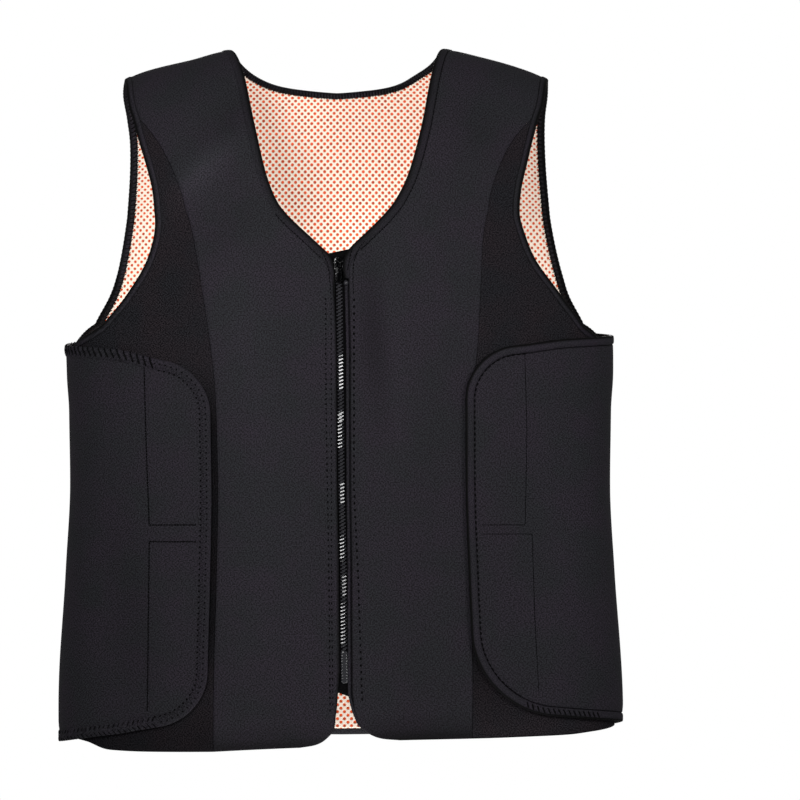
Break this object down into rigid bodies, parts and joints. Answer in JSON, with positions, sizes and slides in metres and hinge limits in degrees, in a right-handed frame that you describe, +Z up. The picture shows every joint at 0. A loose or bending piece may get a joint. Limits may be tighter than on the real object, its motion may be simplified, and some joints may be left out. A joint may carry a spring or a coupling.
{
  "type": "heated vest",
  "caption": "Black padded zip-front vest in its worn shape, with a V neck, bound armholes, wrap-round side flaps, a dotted mesh back lining and a zip pull that swings on its slider.",
  "frame": {"origin": "midway between the two shoulder tops, on the shoulder line, where the wearer's shoulders carry the vest", "axes": "+Z up, -Y out of the front, +X towards the wearer's left"},
  "size_m": [0.5152, 0.1993, 0.6391],
  "materials": {
    "smooth_knit": "matte knit face on foam",
    "loop_pile": "short loop pile",
    "elastic_tape": "ribbed elastic",
    "dotted_mesh": "cream knit mesh with orange dots",
    "woven_tape": "woven",
    "zip_teeth": "glossy",
    "zip_metal": "gloss black enamel"
  },
  "bodies": {
    "vest": {"front_panel_left": "smooth_knit", "front_panel_right": "smooth_knit", "side_panel_left": "loop_pile", "side_panel_right": "loop_pile", "back_panel": "smooth_knit", "back_lining": "dotted_mesh", "side_flap_left": "smooth_knit", "side_flap_right": "smooth_knit", "flap_binding_left": "elastic_tape", "flap_binding_right": "elastic_tape", "neck_binding": "elastic_tape", "armhole_binding_left": "elastic_tape", "armhole_binding_right": "elastic_tape", "zip_tape_left": "woven_tape", "zip_tape_right": "woven_tape", "zip_chain": "zip_teeth", "zip_box": "zip_teeth", "zip_welt": "elastic_tape", "zip_slider": "zip_metal"},
    "zip_pull": {"zip_pull": "zip_metal"}
  },
  "joints": [
    {"name": "zip_pull_swing", "type": "hinge", "parent": "vest", "child": "zip_pull", "pos_m": [-0.00024, -0.09966, -0.19676], "axis": [-1, 0, 0], "range_deg": [0, 170]}
  ]
}
